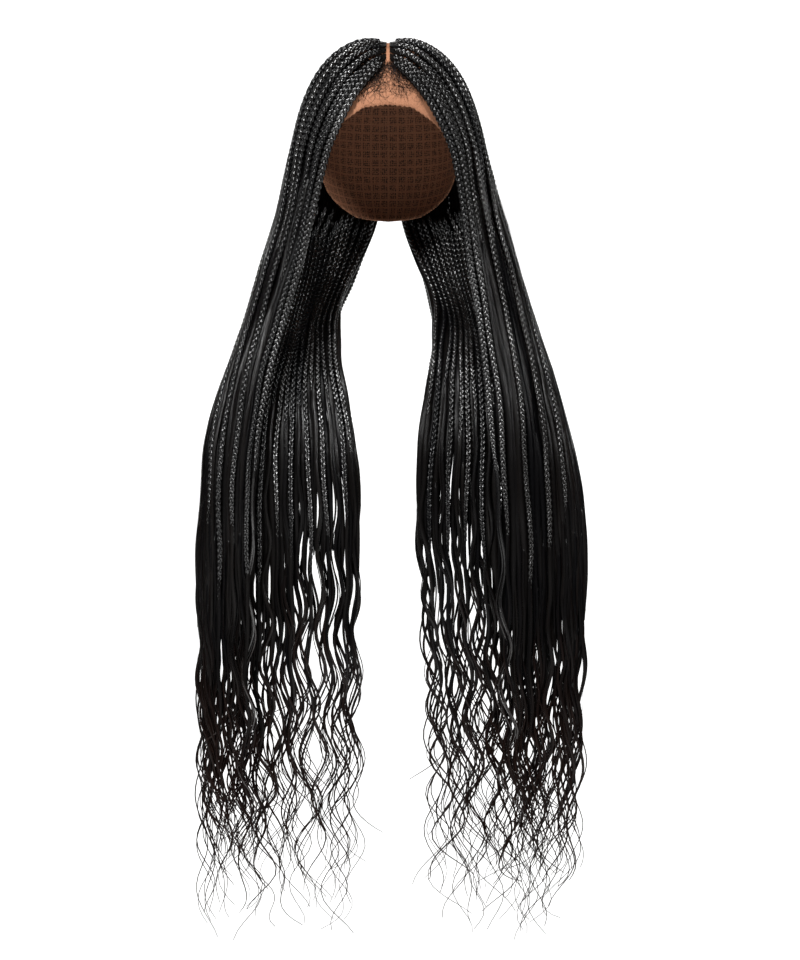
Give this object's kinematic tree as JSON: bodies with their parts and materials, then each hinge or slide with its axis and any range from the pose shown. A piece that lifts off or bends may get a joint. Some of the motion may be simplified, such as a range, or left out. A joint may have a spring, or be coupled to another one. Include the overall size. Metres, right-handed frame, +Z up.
{
  "type": "braided wig",
  "caption": "Long black braided wig on a lace cap, parted in the middle, with thin braids brought forward over both shoulders and loose waved ends.",
  "frame": {"origin": "inside of the cap's crown, where the top of the head bears", "axes": "+Z up along the hanging hair, the face opening looks along -Y, +X is to the viewer's right in the picture"},
  "size_m": [0.3982, 0.2365, 0.9437],
  "materials": {
    "lace": "matte, fine net tinted to a brown skin tone",
    "hair": "satin, black synthetic fibre, braided above and waved loose at the ends"
  },
  "bodies": {
    "root": {"crown_cap": "lace", "lace_front": "lace", "front_fall_left": "hair", "front_fall_right": "hair", "back_fall_left": "hair", "back_fall_right": "hair", "face_braid_left": "hair", "face_braid_right": "hair"}
  },
  "joints": []
}
